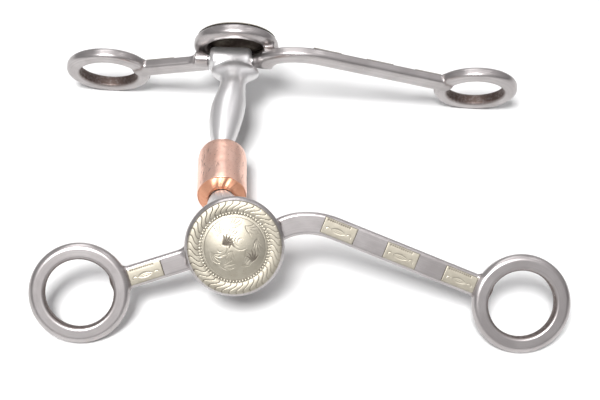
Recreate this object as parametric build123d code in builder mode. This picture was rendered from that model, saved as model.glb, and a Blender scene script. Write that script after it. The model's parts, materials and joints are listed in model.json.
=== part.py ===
from build123d import *
from math import atan2, cos, degrees, hypot, radians, sin
import os

# Loose-cheek curb bit lying on a floor like a tent, in millimetres. X runs along the cheeks
# towards the rein rings, Y from the right cheek to the left one, Z is up and the floor is Z = 0.
os.makedirs("parts", exist_ok=True)

# ---- cheeks (side view: x towards the rein ring, y up the cheek, origin on the hinge axis)
ring_bore = 25.4
ring_outer = 37.6
ring_thickness = 5.4
ring_outer_round = 2.2
ring_bore_round = 1.0
ring_drop = 19.65
ring_offset = 1.0
purchase_ring_x = -56.9
rein_ring_x = 108.7
bar_width = 8.4
bar_thickness = 4.8
bar_round = 1.2
bar_into_ring = 2.5

purchase_start = (-13.8, -4.76)
shank_start = (13.8, 3.6)
shank_rise = (19.0, 8.6)
shank_shoulder_x = 28.0
shank_straight_x = 38.0
shank_slope = 0.372

# the gap for the mouthpiece barrel sits a little towards the purchase ring
lug_gap = 19.2
lug_gap_middle = -2.2
lug_radius = 3.6
purchase_lug_length = 6.0
shank_lug_length = 8.4

centre_ring_outer = 37.0
centre_ring_bore = 25.4
centre_ring_base = 3.9
centre_ring_top = 9.7
centre_ring_round = 2.2
pad_size = (5.0, 6.4)
pad_base = 1.5
purchase_pad_at = (-14.8, -5.1)
shank_pad_at = (14.2, 6.0)

# ---- hinge pins
pin_radius = 2.5
tenon_radius = 1.8
tenon_length = 4.6

# ---- conchos
concho_radius = 17.5
concho_plate = 0.4
rope_width = 5.0
rope_height = 0.9
dome_radius = 12.8
dome_height = 2.2

# ---- overlays
overlay_size = (13.2, 6.4)
overlay_height = 0.5
purchase_overlay_x = -32.6
upper_overlay_x = 38.8
middle_overlay_x = 62.4
lower_overlay_x = 84.8

# ---- how the bit lies
lean = 32.7
hinge_span = 124.3
left_yaw = -1.9
joint_sag = 16.4
joint_sweep = 4.8
frame_middle = (26.06, 0.946)

# ---- mouthpiece
barrel_radius = 5.6
barrel_bore = 2.95
barrel_length = 18.4
barrel_round = 0.7
collar_distance = 7.2
collar_reach = 10.4
collar_radius = 4.6
neck_radius = 2.9
neck_bend = 9.0
neck_from = 7.4
neck_to = 16.6
eye_radius = 4.6
pin_play = 0.15
fork_width = 10.0
slot_width = 4.8
slot_reach = 5.2
tongue_width = 4.2
yoke_reach = 8.4
yoke_height = 6.8
# distance from the hinge axis, half width and half height of the swelling arm
arm_swell = [
    (2.0, 7.0, 5.0),
    (6.0, 7.2, 5.0),
    (9.0, 7.0, 5.0),
    (12.5, 5.7, 5.1),
    (18.0, 6.0, 6.2),
    (25.5, 7.2, 7.2),
    (33.0, 7.0, 7.0),
    (38.5, 6.2, 6.2),
    (43.0, 5.2, 5.2),
    (45.4, 4.5, 4.5),
]

# ---- centre joint pin
joint_pin_radius = 1.5
joint_head_radius = 2.2
joint_head_length = 0.6
joint_head_gap = 0.1

# ---- roller
roller_outer = 20.5
roller_length = 31.0
roller_hole = 9.8
roller_cavity = 16.6
roller_end_wall = 2.4
roller_round = 4.4
roller_hole_round = 0.5

RIGHT = 1
LEFT = -1
same_radius = 0.01


def hinge_height():
    """Height of the hinge axes with the rounded edges of the end rings on the floor."""
    ring_arm = ring_outer / 2 - ring_outer_round
    ring_lift = ring_arm * cos(radians(lean))
    edge_lift = (ring_thickness / 2 - ring_outer_round) * sin(radians(lean))
    hinge_lift = ring_drop * cos(radians(lean)) - ring_offset * sin(radians(lean))
    return ring_outer_round + ring_lift + edge_lift + hinge_lift


def cheek_frame(side):
    """Cheek plane at its hinge; its normal faces outwards on the right and inwards on the left."""
    yaw = radians(left_yaw) if side == LEFT else 0.0
    level = cos(radians(lean))
    return Plane(
        origin=(-frame_middle[0], -side * hinge_span / 2 - frame_middle[1], hinge_height()),
        x_dir=(cos(yaw), sin(yaw), 0),
        z_dir=(level * sin(yaw), -level * cos(yaw), side * sin(radians(lean))),
    )


def joint_point():
    """Centre of the mouthpiece joint and of the roller."""
    return Vector(
        -joint_sweep - frame_middle[0],
        -frame_middle[1],
        hinge_height() - joint_sag,
    )


def arm_slope():
    """Slope of the line from a hinge down to the joint."""
    return joint_sag / (hinge_span / 2)


def hinge_across(side):
    """Plane across one arm at its hinge axis, its normal pointing at the joint."""
    hinge = cheek_frame(side).origin
    return Plane(origin=hinge, x_dir=(1, 0, 0), z_dir=(0, side, -arm_slope()))


def neck_across(side):
    """Plane across one neck at the joint, its normal pointing back along the neck."""
    rise = atan2(joint_sag, hinge_span / 2) - radians(neck_bend)
    return Plane(origin=joint_point(), x_dir=(1, 0, 0), z_dir=(0, -side * cos(rise), sin(rise)))


def joint_section(side):
    """Plane square to the cross pin through the joint, its y pointing back along the neck."""
    neck = neck_across(side)
    return Plane(origin=neck.origin, x_dir=neck.y_dir, z_dir=neck.y_dir.cross(neck.z_dir))


def shank_y(x):
    """Height of the straight part of the shank's middle line."""
    return -ring_drop - shank_slope * (x - rein_ring_x)


def purchase_y(x):
    """Height of the purchase bar's middle line."""
    run = (x - purchase_ring_x) / (purchase_start[0] - purchase_ring_x)
    return -ring_drop + run * (purchase_start[1] + ring_drop)


def towards_ring(ring_x, from_point):
    """End of a bar inside the material of an end ring."""
    away_x = from_point[0] - ring_x
    away_y = from_point[1] + ring_drop
    reach = (ring_outer / 2 - bar_into_ring) / hypot(away_x, away_y)
    return (ring_x + away_x * reach, -ring_drop + away_y * reach)


def across_gap(frame):
    """Plane square to the hinge axis in the middle of the gap between the lugs."""
    middle = frame.origin + frame.x_dir * lug_gap_middle
    return Plane(origin=middle, x_dir=frame.z_dir, z_dir=frame.x_dir)


def circles_of(part, radius):
    """Round edges of one radius."""
    circles = part.edges().filter_by(GeomType.CIRCLE)
    return circles.filter_by(lambda edge: abs(edge.radius - radius) < same_radius)


def make_cheek(side):
    """Two end rings, purchase bar, shank, raised centre ring and the lugs of the hinge pin."""
    frame = cheek_frame(side)
    across = across_gap(frame)
    shank_join = (shank_straight_x, shank_y(shank_straight_x))
    shank_shoulder = (shank_shoulder_x, shank_y(shank_shoulder_x))

    with BuildPart() as cheek:
        with BuildSketch(frame.offset(side * ring_offset - ring_thickness / 2)):
            with Locations((purchase_ring_x, -ring_drop), (rein_ring_x, -ring_drop)):
                Circle(ring_outer / 2)
                Circle(ring_bore / 2, mode=Mode.SUBTRACT)
        extrude(amount=ring_thickness)
        fillet(circles_of(cheek, ring_outer / 2), ring_outer_round)
        fillet(circles_of(cheek, ring_bore / 2), ring_bore_round)

        with BuildSketch(frame.offset(side * centre_ring_base)):
            Circle(centre_ring_outer / 2)
            Circle(centre_ring_bore / 2, mode=Mode.SUBTRACT)
        extrude(amount=side * (centre_ring_top - centre_ring_base))
        fillet(circles_of(cheek, centre_ring_outer / 2), centre_ring_round)

        # purchase bar, straight from the mouth to its ring
        with BuildLine(frame) as purchase_line:
            Line(purchase_start, towards_ring(purchase_ring_x, purchase_start))
        with BuildSketch(
            Plane(purchase_line.line @ 0, x_dir=frame.z_dir, z_dir=purchase_line.line % 0)
        ):
            RectangleRounded(bar_thickness, bar_width, bar_round)
        sweep()

        # shank, arched beside the centre ring and then straight down to the rein ring
        with BuildLine(frame) as shank_line:
            Bezier(shank_start, shank_rise, shank_shoulder, shank_join)
            Line(shank_join, towards_ring(rein_ring_x, shank_join))
        with BuildSketch(Plane(shank_line.line @ 0, x_dir=frame.z_dir, z_dir=shank_line.line % 0)):
            RectangleRounded(bar_thickness, bar_width, bar_round)
        sweep()

        # pads that carry the centre ring
        with BuildSketch(frame.offset(side * pad_base)):
            with Locations(purchase_pad_at, shank_pad_at):
                Rectangle(*pad_size)
        extrude(amount=side * (centre_ring_base + centre_ring_round - pad_base))

        # lugs, each with a blind bore for one end of the hinge pin
        for end, lug_length in ((-1, purchase_lug_length), (1, shank_lug_length)):
            with BuildSketch(across.offset(end * lug_gap / 2)):
                Circle(lug_radius)
            extrude(amount=end * lug_length)
            with BuildSketch(across.offset(end * lug_gap / 2)):
                Circle(tenon_radius)
            extrude(amount=end * tenon_length, mode=Mode.SUBTRACT)
    return cheek.part


def make_hinge_pin(side):
    """Round pin between the lugs with a thinner end in each of them."""
    across = across_gap(cheek_frame(side))
    with BuildPart() as hinge_pin:
        with BuildSketch(across):
            Circle(pin_radius)
        extrude(amount=lug_gap / 2, both=True)
        with BuildSketch(across):
            Circle(tenon_radius)
        extrude(amount=lug_gap / 2 + tenon_length, both=True)
    return hinge_pin.part


def make_concho(side):
    """Disc on the centre ring: thin plate, thick half-round edge and a low dome."""
    frame = cheek_frame(side)
    seat = Plane(
        origin=frame.origin + frame.z_dir * side * centre_ring_top,
        x_dir=frame.x_dir,
        z_dir=frame.z_dir * side,
    )
    rope_middle = concho_radius - rope_width / 2
    dome_ball = (dome_radius**2 + dome_height**2) / (2 * dome_height)
    # turned upright about Z and then laid on its seat
    with BuildPart() as concho:
        with BuildSketch():
            Circle(rope_middle)
        extrude(amount=concho_plate)
        with BuildSketch(Plane.XZ):
            with Locations((rope_middle, 0)):
                Ellipse(rope_width / 2, rope_height)
            with Locations((rope_middle, -rope_height)):
                Rectangle(2 * rope_width, 2 * rope_height, mode=Mode.SUBTRACT)
        revolve(axis=Axis.Z)
        with BuildSketch(Plane.XZ):
            with Locations((0, concho_plate + dome_height - dome_ball)):
                Circle(dome_ball)
            with Locations((0, concho_plate / 2 - dome_ball)):
                Rectangle(3 * dome_ball, 2 * dome_ball, mode=Mode.SUBTRACT)
            with Locations((-dome_ball, 0)):
                Rectangle(2 * dome_ball, 3 * dome_ball, mode=Mode.SUBTRACT)
        revolve(axis=Axis.Z)
    return concho.part.moved(seat.location)


def make_overlay(side, middle_x, middle_y, angle):
    """Flat plate on the outer face of a bar."""
    with BuildPart() as overlay:
        with BuildSketch(cheek_frame(side).offset(side * bar_thickness / 2)):
            with Locations(Location((middle_x, middle_y, 0), angle)):
                Rectangle(*overlay_size)
        extrude(amount=side * overlay_height)
    return overlay.part


def make_arm(side):
    """Mouthpiece half: bored barrel, collar, swollen arm, bent neck, and a fork or a tongue."""
    across = hinge_across(side)
    barrel_middle = cheek_frame(side).origin + Vector(lug_gap_middle, 0, 0)
    barrel = Plane(origin=barrel_middle, x_dir=across.z_dir, z_dir=(1, 0, 0))
    collar_middle = across.origin + across.z_dir * collar_distance
    collar = Plane(origin=collar_middle, x_dir=(1, 0, 0), z_dir=across.y_dir)
    neck = neck_across(side)
    joint = joint_section(side)
    neck_start = hypot(hinge_span / 2, joint_sag) - neck_to * cos(radians(neck_bend))
    neck_dip = neck_to * sin(radians(neck_bend))
    eye_width = fork_width if side == RIGHT else tongue_width

    with BuildPart() as arm:
        for distance, half_width, half_height in arm_swell:
            run = distance / neck_start
            drift = joint_sweep * run * run * (3 - 2 * run)
            dip = neck_dip * run * run
            with BuildSketch(across.offset(distance)):
                with Locations((-drift, side * dip)):
                    Ellipse(half_width, half_height)
        with BuildSketch(neck.offset(neck_to)):
            Circle(neck_radius)
        loft()
        with BuildSketch(neck.offset(neck_from)):
            Circle(neck_radius)
        extrude(amount=neck_to - neck_from)

        # collar between the barrel and the arm, a long round swelling across the arm
        with BuildSketch(collar):
            Ellipse(collar_reach, collar_radius)
            with Locations((0, -collar_radius)):
                Rectangle(2 * collar_reach, 2 * collar_radius, mode=Mode.SUBTRACT)
        revolve(axis=Axis(collar_middle, (1, 0, 0)))

        with BuildSketch(barrel):
            Circle(barrel_radius)
        extrude(amount=barrel_length / 2, both=True)
        fillet(circles_of(arm, barrel_radius), barrel_round)
        with BuildSketch(barrel):
            Circle(barrel_bore)
        extrude(amount=barrel_length / 2, both=True, mode=Mode.SUBTRACT)

        with BuildSketch(joint):
            Circle(eye_radius)
            with Locations((0, yoke_reach / 2)):
                Rectangle(yoke_height, yoke_reach)
        extrude(amount=eye_width / 2, both=True)
        if side == RIGHT:
            with BuildSketch(joint):
                with Locations((0, slot_reach / 2 - eye_radius)):
                    Rectangle(4 * eye_radius, slot_reach + 2 * eye_radius)
            extrude(amount=slot_width / 2, both=True, mode=Mode.SUBTRACT)
        with BuildSketch(joint):
            Circle(joint_pin_radius + pin_play)
        extrude(amount=eye_width, both=True, mode=Mode.SUBTRACT)
    return arm.part


def make_joint_pin():
    """Cross pin with a small head at each end."""
    with BuildPart() as joint_pin:
        head_base = fork_width / 2 + joint_head_gap
        with BuildSketch(Plane(joint_point(), x_dir=(0, 1, 0), z_dir=(1, 0, 0))):
            Circle(joint_pin_radius)
        extrude(amount=head_base, both=True)
        for end in (-1, 1):
            head = Plane(joint_point(), x_dir=(0, 1, 0), z_dir=(end, 0, 0))
            with BuildSketch(head.offset(head_base)):
                Circle(joint_head_radius)
            extrude(amount=joint_head_length)
    return joint_pin.part


def make_roller():
    """Hollow roller around the joint with a round opening in each end."""
    middle = Plane(joint_point(), x_dir=(1, 0, 0), z_dir=(0, 1, 0))
    with BuildPart() as roller:
        with BuildSketch(middle):
            Circle(roller_outer / 2)
        extrude(amount=roller_length / 2, both=True)
        fillet(circles_of(roller, roller_outer / 2), roller_round)
        with BuildSketch(middle):
            Circle(roller_hole / 2)
        extrude(amount=roller_length / 2, both=True, mode=Mode.SUBTRACT)
        fillet(circles_of(roller, roller_hole / 2), roller_hole_round)
        with BuildSketch(middle):
            Circle(roller_cavity / 2)
        extrude(amount=roller_length / 2 - roller_end_wall, both=True, mode=Mode.SUBTRACT)
    return roller.part


pieces = {"joint_pin": make_joint_pin(), "roller": make_roller()}
purchase_rise = purchase_start[1] + ring_drop
purchase_angle = degrees(atan2(purchase_rise, purchase_start[0] - purchase_ring_x))
shank_angle = -degrees(atan2(shank_slope, 1))
for side, name in ((RIGHT, "right"), (LEFT, "left")):
    pieces[f"{name}_arm"] = make_arm(side)
    pieces[f"{name}_cheek"] = make_cheek(side)
    pieces[f"{name}_hinge_pin"] = make_hinge_pin(side)
    pieces[f"{name}_concho"] = make_concho(side)
    pieces[f"{name}_overlay_purchase"] = make_overlay(
        side, purchase_overlay_x, purchase_y(purchase_overlay_x), purchase_angle
    )
    for place, x in (
        ("upper", upper_overlay_x),
        ("middle", middle_overlay_x),
        ("lower", lower_overlay_x),
    ):
        pieces[f"{name}_overlay_{place}"] = make_overlay(side, x, shank_y(x), shank_angle)

for name, piece in pieces.items():
    piece.label = name
    export_step(piece, f"parts/{name}.step")
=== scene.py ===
"""Loose-cheek curb bit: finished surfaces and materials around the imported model.

Every shape is worked out in millimetres in the frame of the part it belongs to (a cheek, a
mouthpiece half or the roller) and then placed in the row frame, in metres.
"""

import bpy
import json
import numpy as np
from mathutils import Matrix, Vector


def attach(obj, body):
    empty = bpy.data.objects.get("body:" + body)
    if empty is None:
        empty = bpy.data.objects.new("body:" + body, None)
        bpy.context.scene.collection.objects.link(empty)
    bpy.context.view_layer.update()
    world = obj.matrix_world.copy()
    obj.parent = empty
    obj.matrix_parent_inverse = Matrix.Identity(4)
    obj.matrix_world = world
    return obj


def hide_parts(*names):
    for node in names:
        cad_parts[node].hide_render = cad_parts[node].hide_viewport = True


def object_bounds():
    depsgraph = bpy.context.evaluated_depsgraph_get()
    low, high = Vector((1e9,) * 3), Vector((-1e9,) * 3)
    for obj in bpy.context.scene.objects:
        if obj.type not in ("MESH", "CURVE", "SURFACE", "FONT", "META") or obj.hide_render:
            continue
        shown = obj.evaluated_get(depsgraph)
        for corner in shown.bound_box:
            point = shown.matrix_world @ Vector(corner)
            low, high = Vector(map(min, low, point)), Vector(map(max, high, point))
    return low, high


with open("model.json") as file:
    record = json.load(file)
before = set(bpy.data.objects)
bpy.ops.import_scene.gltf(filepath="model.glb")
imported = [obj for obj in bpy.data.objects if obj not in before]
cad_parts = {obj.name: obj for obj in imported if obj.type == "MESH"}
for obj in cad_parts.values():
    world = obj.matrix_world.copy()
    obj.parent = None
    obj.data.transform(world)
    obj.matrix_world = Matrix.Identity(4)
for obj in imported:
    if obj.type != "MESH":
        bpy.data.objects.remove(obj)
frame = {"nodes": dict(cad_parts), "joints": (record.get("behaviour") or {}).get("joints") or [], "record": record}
cad_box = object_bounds()
record = frame["record"]
joints = {joint["name"]: joint for joint in frame["joints"]}
mounts = {mount["name"]: mount for mount in record["mounts"]}
MM = 0.001

# ---- sizes in millimetres, near the CAD model's: softer edges, thinner lugs, smaller concho
ring_outer = 18.78
ring_bore = 12.7
ring_thickness = 5.4
ring_round_out = 2.2
ring_round_in = 1.3
bar_half_width = 4.2
bar_half_thickness = 2.4
bar_round_out = 1.2
bar_round_in = 2.2
bar_into_ring = 2.5
centre_ring_outer = 18.5
centre_ring_base = 3.9
centre_ring_top = 9.7
centre_round_out = 2.5
centre_round_in = 2.1
lug_middle = -2.2
lug_half_gap = 9.6
purchase_lug_length = 6.0
shank_lug_length = 8.4
lug_radius = 2.9
lug_round = 0.6
lug_fillet = 3.4
lug_clearance = 4.0
tenon_radius = 1.82
tenon_length = 4.62
weld_fillet = 1.5

concho_radius = 17.4
concho_plate = 0.4
rope_inner = 12.9
rope_height = 0.42
rope_strands = 40
bead_ring = 12.7
bead_count = 70
bead_height = 0.34
dome_radius = 12.3
dome_height = 2.2
# root of each leaf on the dome, its heading in degrees and its length
dome_leaves = (
    ((-7.0, 4.0), 60.0, 6.4), ((-2.6, 8.0), 10.0, 6.0), ((3.6, 8.2), -40.0, 6.0),
    ((8.2, 3.8), -95.0, 6.0), ((-8.6, -1.8), -60.0, 5.6), ((-3.0, 4.4), 20.0, 5.0),
    ((4.4, -0.4), -80.0, 4.6), ((-0.6, -1.0), -130.0, 5.0), ((-5.6, -6.4), -12.0, 6.6),
    ((2.4, -6.6), 20.0, 5.2),
)
# middle of each spiral on the dome, its first angle in degrees, its radius and the cuts' width
dome_scrolls = (((2.2, 2.6), 60.0, 3.2, 0.26), ((-5.2, -0.6), 200.0, 2.4, 0.24))
# blackened leaves: root, heading, length, number of blades, fan in degrees and the cuts' width
dome_shades = (
    ((-4.6, 1.2), 24.0, 5.4, 6, 56.0, 0.80), ((-0.8, 2.2), 200.0, 3.2, 4, 130.0, 0.60),
    ((6.6, -5.0), 76.0, 5.0, 5, 60.0, 0.60),
)

overlay_length = 13.2
overlay_width = 6.4
overlay_height = 0.5
# start of each cut on an overlay, its heading in degrees, length, bend in degrees and width
overlay_cuts = (
    ((-3.0, -0.7), 30.0, 6.0, -60.0, 0.62), ((-3.0, -0.7), -22.0, 5.8, 44.0, 0.50),
    ((-3.0, -0.7), 4.0, 5.2, -8.0, 0.34), ((3.2, -0.8), 70.0, 3.0, -190.0, 0.26),
    ((-3.4, -0.8), 110.0, 2.8, 190.0, 0.26),
)

barrel_radius = 5.6
barrel_half_length = 9.2
barrel_bore = 2.95
barrel_round = 2.3
collar_distance = 7.2
collar_reach = 10.4
collar_radius = 4.6
neck_radius = 2.9
neck_bend = np.radians(9.0)
neck_reach = 16.6

roller_radius = 10.25
roller_half_length = 15.5
roller_hole = 4.9
roller_cavity = 8.3
roller_end_wall = 2.4


# ---- small helpers
def unit(vector):
    return vector / np.linalg.norm(vector)


def clamp(value):
    return np.clip(value, 0, 1)


def bell(value):
    return np.exp(-(value**2))


# ---- frames


def position(table, name):
    """Where a joint or a mount is, in millimetres of the row frame."""
    return np.array(table[name]["pos_m"]) / MM


def axes_of(x, y, z, origin):
    """4x4 matrix of a part's own frame."""
    axes = np.eye(4)
    axes[:3] = np.column_stack((x, y, z, origin))
    return axes


def cheek_axes(side):
    """Frame of one cheek: x to the rein ring, y up, z outwards, origin on the hinge."""
    rein = side + "_rein_ring"
    along = unit(position(mounts, rein) - position(mounts, side + "_headstall_ring"))
    out = unit(np.array(mounts[rein]["axis"]))
    up = unit(np.cross(out, along))
    if up[2] < 0:
        up = -up
    return axes_of(along, up, out, position(joints, side + "_cheek_swing"))


def arm_axes(side):
    """Frame of one arm: x along its barrel, y from the hinge to the joint, z up."""
    hinge = position(joints, side + "_cheek_swing")
    chord = position(joints, "mouth_fold") - hinge
    chord[0] = 0.0
    along = unit(chord)
    up = unit(np.array((0, -along[2], along[1])) * (1 if along[1] > 0 else -1))
    return axes_of((1, 0, 0), along, up, hinge)


def roller_axes():
    """Frame of the roller: z along its axis, origin at the joint."""
    return axes_of((0, 0, 1), (1, 0, 0), (0, 1, 0), position(joints, "mouth_fold"))


def into(axes, point_m):
    """A point of the row frame, in metres, in a part's own millimetres."""
    return (np.linalg.inv(axes) @ np.append(np.array(point_m) / MM, 1.0))[:3]


# ---- meshes
def make_object(name, points, faces, axes, body, normals=None, **values):
    """Mesh object from points in a part's millimetres, with faces turned in a mirrored frame.

    Each value per point is stored for the material to read: tone is 0 for the plain colour and 1
    for the darker one (painted shade on the cheeks, tarnish in the hollows of the conchos and
    overlays with painted shade under them, and on the roller the rolled ends' colour, partly
    painted reflection), brush is the distance across the brushing in millimetres, and stain is 1
    on a dark mark.
    """
    world = (points @ axes[:3, :3].T + axes[:3, 3]) * MM
    if np.linalg.det(axes[:3, :3]) < 0:
        faces = faces[:, ::-1]
    mesh = bpy.data.meshes.new(name)
    mesh.vertices.add(len(world))
    mesh.vertices.foreach_set("co", world.astype(np.float32).ravel())
    corners = faces.shape[1]
    mesh.loops.add(faces.size)
    mesh.loops.foreach_set("vertex_index", faces.astype(np.int32).ravel())
    mesh.polygons.add(len(faces))
    mesh.polygons.foreach_set("loop_start", np.arange(0, faces.size, corners, dtype=np.int32))
    mesh.update(calc_edges=True)
    mesh.validate()
    mesh.shade_smooth()
    for key, value in values.items():
        stored = mesh.attributes.new(key, "FLOAT", "POINT")
        stored.data.foreach_set("value", value.astype(np.float32))
    if normals is None:
        mesh.set_sharp_from_angle(angle=np.radians(50))
    else:
        turned = normals @ np.linalg.inv(axes[:3, :3])
        turned /= np.linalg.norm(turned, axis=1)[:, None]
        mesh.normals_split_custom_set_from_vertices(turned.tolist())
    piece = bpy.data.objects.new(name, mesh)
    bpy.context.scene.collection.objects.link(piece)
    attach(piece, body)
    return piece


def dress(piece, node, material):
    """Let a piece take the place of its CAD node and give it its material."""
    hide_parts(node)
    piece.data.materials.append(material)


def grid_faces(columns, rows, first=0):
    """Quads of a grid of points numbered row by row from first."""
    corner = first + np.arange(columns - 1)[:, None] * rows + np.arange(rows - 1)[None, :]
    quads = np.stack((corner, corner + rows, corner + rows + 1, corner + 1), -1)
    return quads.reshape(-1, 4)


def rim_of(columns, rows):
    """Numbers of a grid's border points, once round."""
    near, left = np.arange(columns) * rows, np.arange(rows)
    far, right = near + rows - 1, left + (columns - 1) * rows
    return np.concatenate((near[:-1], right[:-1], far[:0:-1], left[:0:-1]))


def closed_plate(top, bottom):
    """Points and quads of a plate between two grids of points that share an outline."""
    columns, rows = top.shape[:2]
    points = np.concatenate((top.reshape(-1, 3), bottom.reshape(-1, 3)))
    count = columns * rows
    upper = rim_of(columns, rows)
    lower = upper + count
    side = np.stack((lower, np.roll(lower, -1), np.roll(upper, -1), upper), -1)
    under = grid_faces(columns, rows, count)[:, ::-1]
    return points, np.concatenate((grid_faces(columns, rows), under, side))


def gradient(shape, points, step=0.02):
    """Slope of a distance function at each point."""
    slope = np.empty_like(points)
    for axis in range(3):
        offset = np.zeros(3)
        offset[axis] = step
        slope[:, axis] = (shape(points + offset) - shape(points - offset)) / (2 * step)
    return slope


def skin(shape, low, high, cell):
    """Closed quad mesh of the surface where a distance function is zero (surface nets)."""
    counts = [int(np.ceil((b - a) / cell)) + 1 for a, b in zip(low, high)]
    lines = [a + cell * np.arange(n) for a, n in zip(low, counts)]
    field = np.empty(counts, dtype=np.float32)
    flat_y, flat_z = np.meshgrid(lines[1], lines[2], indexing="ij")
    for i, x in enumerate(lines[0]):
        layer = np.column_stack((np.full(flat_y.size, x), flat_y.ravel(), flat_z.ravel()))
        field[i] = shape(layer).reshape(flat_y.shape)
    inside = field < 0
    cells = tuple(n - 1 for n in counts)
    filled = np.zeros(cells, dtype=np.int8)
    corners = [(a, b, c) for a in (0, 1) for b in (0, 1) for c in (0, 1)]
    for a, b, c in corners:
        filled += inside[a : a + cells[0], b : b + cells[1], c : c + cells[2]]
    active = np.argwhere((filled > 0) & (filled < 8))
    number = np.full(cells, -1, dtype=np.int32)
    number[tuple(active.T)] = np.arange(len(active))
    total = np.zeros((len(active), 3))
    crossings = np.zeros(len(active))
    for corner in corners:
        for axis in range(3):
            if corner[axis]:
                continue
            other = list(corner)
            other[axis] = 1
            start = field[tuple((active + corner).T)]
            end = field[tuple((active + other).T)]
            cut = (start < 0) != (end < 0)
            share = np.where(cut, start / np.where(cut, start - end, 1.0), 0.0)
            place = np.array(corner, dtype=float)[None, :].repeat(len(active), 0)
            place[:, axis] = share
            total += place * cut[:, None]
            crossings += cut
    points = np.array(low) + cell * (active + total / crossings[:, None])
    faces = []
    for axis in range(3):
        u, v = [(1, 2), (2, 0), (0, 1)][axis]
        change = np.diff(inside.astype(np.int8), axis=axis)
        spots = np.argwhere(change != 0)
        spots = spots[(spots[:, u] > 0) & (spots[:, v] > 0)]
        turn = change[tuple(spots.T)] > 0
        ring = []
        for du, dv in ((1, 1), (0, 1), (0, 0), (1, 0)):
            at = spots.copy()
            at[:, u] -= du
            at[:, v] -= dv
            ring.append(number[tuple(at.T)])
        quad = np.stack(ring, 1)
        quad[turn] = quad[turn][:, ::-1]
        faces.append(quad)
    # three short steps bring every point onto the exact surface
    reach = 0.6 * cell
    for _ in range(3):
        slope = gradient(shape, points)
        size = np.maximum((slope**2).sum(1), 0.05)
        push = np.clip(shape(points) / size, -reach, reach)
        points = points - slope * push[:, None]
    normals = gradient(shape, points)
    normals /= np.maximum(np.linalg.norm(normals, axis=1), 1e-6)[:, None]
    return points, np.concatenate(faces), normals


# ---- distance functions
def smooth_union(a, b, fillet):
    """Union of two distances with a rounded inner corner."""
    blend = clamp(0.5 + 0.5 * (b - a) / fillet)
    return b * (1 - blend) + a * blend - fillet * blend * (1 - blend)


def rounded_box(u, v, half_u, half_v, radius):
    """Distance to a rounded rectangle in two directions."""
    over_u = np.abs(u) - half_u + radius
    over_v = np.abs(v) - half_v + radius
    outside = np.hypot(np.maximum(over_u, 0), np.maximum(over_v, 0))
    return np.minimum(np.maximum(over_u, over_v), 0) + outside - radius


def flat_ring(p, centre_x, centre_y, outer, bore, base, top, outer_round, bore_round):
    """Distance to a ring lying in a cheek's plane."""
    middle = (outer + bore) / 2
    across = np.hypot(p[:, 0] - centre_x, p[:, 1] - centre_y) - middle
    height = p[:, 2] - (base + top) / 2
    radius = np.where(across > 0, outer_round, bore_round)
    return rounded_box(across, height, (outer - bore) / 2, (top - base) / 2, radius)


def path_distance(x, y, path):
    """Distance in the plane from points to an open path of short straight steps."""
    nearest = np.full(x.shape, np.inf)
    for (ax, ay), (bx, by) in zip(path[:-1], path[1:]):
        step_x, step_y = bx - ax, by - ay
        run = ((x - ax) * step_x + (y - ay) * step_y) / (step_x**2 + step_y**2)
        run = clamp(run)
        nearest = np.minimum(nearest, np.hypot(x - ax - run * step_x, y - ay - run * step_y))
    return nearest


def curve_through(stations, column, at):
    """Smooth curve through one column of a table that starts with positions (Catmull-Rom)."""
    places = np.array([s[0] for s in stations], dtype=float)
    values = np.array([s[column] for s in stations], dtype=float)
    slopes = np.gradient(values, places)
    at = np.clip(at, places[0], places[-1])
    index = np.clip(np.searchsorted(places, at) - 1, 0, len(places) - 2)
    width = places[index + 1] - places[index]
    t = (at - places[index]) / width
    first = (2 * t**3 - 3 * t**2 + 1) * values[index]
    first_slope = (t**3 - 2 * t**2 + t) * width * slopes[index]
    last = (3 * t**2 - 2 * t**3) * values[index + 1]
    last_slope = (t**3 - t**2) * width * slopes[index + 1]
    return first + first_slope + last + last_slope


# ---- cheeks
purchase_start = (-13.8, -4.76)
shank_start = (13.8, 3.6)
shank_rise = (19.0, 8.6)
shank_shoulder_x = 28.0
shank_straight_x = 38.0
shank_slope = 0.372
pad_places = ((-14.8, -5.1), (14.2, 6.0))
pad_half_size = (2.4, 3.0, 2.2)
pad_corner = 1.0
pad_sunk = 0.6
pad_fillet = 0.9
cheek_cell = 0.43
# how far the painted shade reaches from each recess
shade_in_ring = 1.5
shade_in_centre = 2.2
shade_at_weld = 0.55
shade_at_pad = 0.8
# keeps the brushing of bars and rings apart, in millimetres of brush distance
brush_apart = 40.0
brush_slant = 0.8


def bezier(points, steps):
    """Points along a cubic curve."""
    t = np.linspace(0, 1, steps)[:, None]
    a, b, c, d = (np.array(point) for point in points)
    return a * (1 - t) ** 3 + 3 * b * t * (1 - t) ** 2 + 3 * c * t**2 * (1 - t) + d * t**3


def bar_end(ring, start):
    """Where a bar's middle line stops inside the material of its ring."""
    away = np.array(start) - ring[:2]
    return ring[:2] + unit(away) * (ring_outer - bar_into_ring)


def cheek_lines(axes, side):
    """Middles of the two end rings, and the middle lines of the two bars."""
    headstall = into(axes, mounts[side + "_headstall_ring"]["pos_m"])
    rein = into(axes, mounts[side + "_rein_ring"]["pos_m"])

    def shank_y(x):
        return rein[1] - shank_slope * (x - rein[0])

    joined = (shank_straight_x, shank_y(shank_straight_x))
    shoulder = (shank_shoulder_x, shank_y(shank_shoulder_x))
    arch = bezier((shank_start, shank_rise, shoulder, joined), 24)
    shank = np.vstack((arch, bar_end(rein, joined)))
    purchase = np.vstack((purchase_start, bar_end(headstall, purchase_start)))
    return (headstall, rein), (purchase, shank)


def across_ring(p, middle):
    """Signed distance in the cheek's plane from the middle line of a ring's material."""
    return np.hypot(p[:, 0] - middle[0], p[:, 1] - middle[1]) - (ring_outer + ring_bore) / 2


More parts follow.
